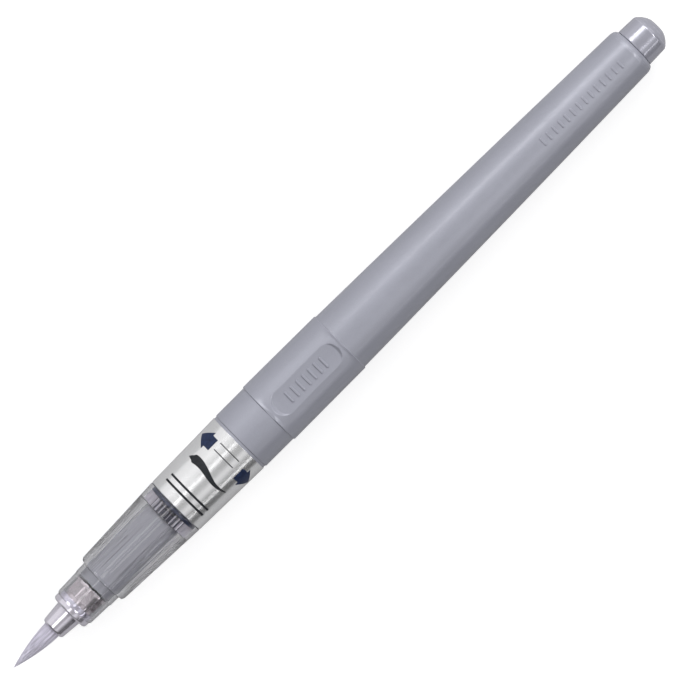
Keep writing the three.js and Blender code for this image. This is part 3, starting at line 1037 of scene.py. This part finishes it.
def smooth_path(spots, widths):
    """A Catmull-Rom curve through the spots, with the widths eased along it."""
    spots = [Vector(spot) for spot in spots]
    last = len(spots) - 1
    path, spread = [], []
    for index in range(last):
        a, b, c, d = (spots[min(max(index + k, 0), last)] for k in (-1, 0, 1, 2))
        square = 2 * a - 5 * b + 4 * c - d
        cube = 3 * b - a - 3 * c + d
        for step in range(8):
            t = step / 8
            path.append(0.5 * (2 * b + (c - a) * t + square * t**2 + cube * t**3))
            spread.append(lerp(widths[index], widths[index + 1], smooth(0, 1, t)))
    path.append(spots[-1])
    spread.append(widths[-1])
    return path, spread


def panel(corners, lift=LABEL_LIFT):
    """A filled shape between two edges, each a list of (station, arc) with the same count."""
    lanes = 10
    points = []
    for (s0, a0), (s1, a1) in corners:
        for lane in range(lanes + 1):
            share = lane / lanes
            points.append(on_label(lerp(s0, s1, share), lerp(a0, a1, share), lift))
    faces = []
    for row in range(len(corners) - 1):
        here, there = row * (lanes + 1), (row + 1) * (lanes + 1)
        for lane in range(lanes):
            faces.append((here + lane, here + lane + 1, there + lane + 1, there + lane))
    return points, faces


def ruled_line(station, low, high, width):
    """A straight line of even width round the pen, from one arc to another."""
    count = 12
    spots = [(station, lerp(low, high, index / count)) for index in range(count + 1)]
    return stroke(spots, [width] * len(spots))


def brush_sweep(station, start, end, width):
    """One long touch of a brush round the pen: a wet head that thins out along a slight curve."""
    count = 16
    spots, widths = [], []
    for index in range(count + 1):
        share = index / count
        spots.append((station + 0.45 * math.sin(2 * math.pi * share), lerp(start, end, share)))
        widths.append(0.15 + width * smooth(0, 0.15, share) * (1 - share))
    return stroke(spots, widths)


def make_label_print():
    """Plain decoration: one brush stroke and a few ruled lines, with no lettering."""
    shift = 0.5  # the label faces the camera a little to the +Y side
    low, high = -5.2 + shift, 5.2 + shift
    black = [brush_sweep(49.4, high, low, 1.9)]
    black += [ruled_line(station, low, high, 0.42) for station in (43.6, 44.9)]
    add_print("label_marks", black, "black_ink")
    fine = [ruled_line(station, -2.4 + shift, 2.4 + shift, 0.22) for station in (53.4, 55.0)]
    add_print("label_lines", fine, "pale_ink")
    make_turn_arrows(shift)


def make_turn_arrows(shift):
    """Two plain arrows round the pen that show which way the nose turns."""
    navy = []
    for side, start in ((1, 3.1 + shift), (-1, 4.0 - shift)):
        middle = 53.75 if side > 0 else 53.4
        shaft = [(middle - 1.25, middle + 1.25), (middle - 1.25, middle + 1.25)]
        arcs = [start, start + 1.45]
        head = [(middle - 1.9, middle + 1.9), (middle - 0.05, middle + 0.05)]
        head_arcs = [start + 1.45, start + 4.3]
        for pairs, ends in ((shaft, arcs), (head, head_arcs)):
            rows = 12
            edge = []
            for row in range(rows + 1):
                share = row / rows
                arc = side * lerp(ends[0], ends[1], share)
                low = lerp(pairs[0][0], pairs[1][0], share)
                high = lerp(pairs[0][1], pairs[1][1], share)
                edge.append(((low, arc), (high, arc)))
            navy.append(panel(edge))
    add_print("turn_arrows", navy, "navy_ink")


def add_print(name, parts, material):
    add_piece(name, *joined(parts), "barrel", "label_foil", material=material, crease=80)


# ---------------------------------------------------------------- studio

CAMERA_TURN = math.radians(44.95)
CAMERA_AWAY = 0.877
LENS = 259.0
AIM = (0.9, 1.7)  # millimetres right of and above the middle of the pen
LAMPS = (
    # name, lean in degrees, along, away, size, power
    ("key_box", 43, 0.5, 1.1, (0.9, 0.42), 5.6),
    ("fill_box", -21, 0.5, 1.1, (0.5, 0.2), 3.0),
    ("rim_strip", -56, 0.37, 1.15, (1.1, 0.1), 1.3),
    ("tip_box", 14, -0.32, 1.05, (0.26, 0.42), 0.9),
)


def make_camera():
    """Looks straight down, a little from the +Y side, with the pen along the picture's diagonal."""
    along = Vector((1, 0, 0))
    aside = Vector((0, math.cos(CAMERA_TILT), -math.sin(CAMERA_TILT)))
    right = math.cos(CAMERA_TURN) * along - math.sin(CAMERA_TURN) * aside
    up = math.sin(CAMERA_TURN) * along + math.cos(CAMERA_TURN) * aside
    back = right.cross(up)
    target = Vector((0, 0, AXIS_Z)) + right * AIM[0] * MM + up * AIM[1] * MM
    data = bpy.data.cameras.new("camera")
    data.lens = LENS
    data.sensor_width = 36.0
    data.clip_start = 0.05
    data.clip_end = 20.0
    camera = bpy.data.objects.new("camera", data)
    turn = Matrix((right, up, back)).transposed().to_4x4()
    camera.matrix_world = Matrix.Translation(target + back * CAMERA_AWAY) @ turn
    bpy.context.collection.objects.link(camera)
    bpy.context.scene.camera = camera


def make_lamp(name, lean, along, away, size, power):
    """A soft box that faces the pen; it leans from straight up towards +Y."""
    data = bpy.data.lights.new(name, "AREA")
    data.shape = "RECTANGLE"
    data.size, data.size_y = size
    data.energy = power
    lamp = bpy.data.objects.new(name, data)
    angle = math.radians(lean)
    spot = Vector((along, math.sin(angle) * away, math.cos(angle) * away))
    lamp.matrix_world = Matrix.Translation(spot) @ spot.to_track_quat("Z", "Y").to_matrix().to_4x4()
    bpy.context.collection.objects.link(lamp)


def make_world():
    """A pale room: dim straight above, dark low down on the -Y side, plain to the camera."""
    world = bpy.data.worlds.new("room")
    bpy.context.scene.world = world
    world.use_nodes = True
    tree = world.node_tree

    def node(kind, values, output=0, **settings):
        """A node whose named or numbered inputs are linked or set."""
        made = tree.nodes.new(kind)
        for key, value in settings.items():
            setattr(made, key, value)
        for key, value in values.items():
            if isinstance(value, bpy.types.NodeSocket):
                tree.links.new(value, made.inputs[key])
            else:
                made.inputs[key].default_value = value
        return made.outputs[output]

    def between(value, low, high, to_low=0.0, to_high=1.0, interpolation_type="SMOOTHSTEP"):
        values = {"Value": value, "From Min": low, "From Max": high}
        values |= {"To Min": to_low, "To Max": to_high}
        return node("ShaderNodeMapRange", values, interpolation_type=interpolation_type)

    where = node("ShaderNodeTexCoord", {}, "Generated")
    rise = node("ShaderNodeSeparateXYZ", {0: where}, "Z")
    window = {0: where, 1: (0.55, 0.84, 0.0)}
    toward = node("ShaderNodeVectorMath", window, "Value", operation="DOT_PRODUCT")
    height = between(rise, 0.5, 0.92)
    side = between(toward, 0.0, 0.5, interpolation_type="LINEAR")
    lit = node("ShaderNodeMath", {0: height, 1: side}, operation="MAXIMUM")
    above = between(rise, 0.86, 0.96, 1.0, 0.35)
    dimmed = node("ShaderNodeMath", {0: lit, 1: above}, operation="MULTIPLY")
    level = between(dimmed, 0.0, 1.0, 0.02, 0.88, interpolation_type="LINEAR")
    camera = node("ShaderNodeLightPath", {}, "Is Camera Ray")
    seen = node("ShaderNodeMix", {"Factor": camera, "A": level, "B": 0.9})
    background = tree.nodes["Background"]
    background.inputs["Color"].default_value = (1.0, 1.0, 1.0, 1.0)
    tree.links.new(seen, background.inputs["Strength"])


def make_floor():
    finish = Finish("floor_paper", Emission_Color=(1.0, 1.0, 1.0, 1.0))
    grain = finish.noise(0.3, 5.0)
    base = finish.mix(grain, (0.47, 0.47, 0.475), (0.49, 0.49, 0.495))
    path = finish.tree.nodes.new("ShaderNodeLightPath")
    glow = finish.ramp(path.outputs["Is Camera Ray"], 0.0, 1.0, 0.0, 0.68)
    material = finish.done(
        Base_Color=base,
        Roughness=finish.ramp(grain, 0.2, 0.8, 0.75, 0.85),
        Emission_Strength=glow,
    )
    mesh = bpy.data.meshes.new("floor")
    half = 4.0
    height = -0.00002
    mesh.from_pydata(
        [(-half, -half, height), (half, -half, height), (half, half, height), (-half, half, height)],
        [],
        [(0, 1, 2, 3)],
    )
    mesh.materials.append(material)
    floor = bpy.data.objects.new("floor", mesh)
    bpy.context.collection.objects.link(floor)


def make_studio():
    make_camera()
    make_world()
    make_floor()
    for lamp in LAMPS:
        make_lamp(*lamp)
    bpy.context.scene.view_settings.view_transform = "Standard"


# ---------------------------------------------------------------- the pen


def make_pen():
    make_bristles()
    make_ferrule()
    make_feed()
    make_clear_nose()
    make_nose_inside()
    corners = make_barrel()
    make_push_skin("push_skin_top", 1, corners, "push_pad_top")
    make_push_skin("push_skin_bottom", -1, corners, "push_pad_bottom")
    make_grip_ribs("grip_ribs_top", 1, "pad_top")
    make_grip_ribs("grip_ribs_bottom", -1, "pad_bottom")
    make_tail_marks()
    make_barrel_inside()
    make_tail_plug()
    make_label()
    make_label_print()


make_pen()
make_studio()
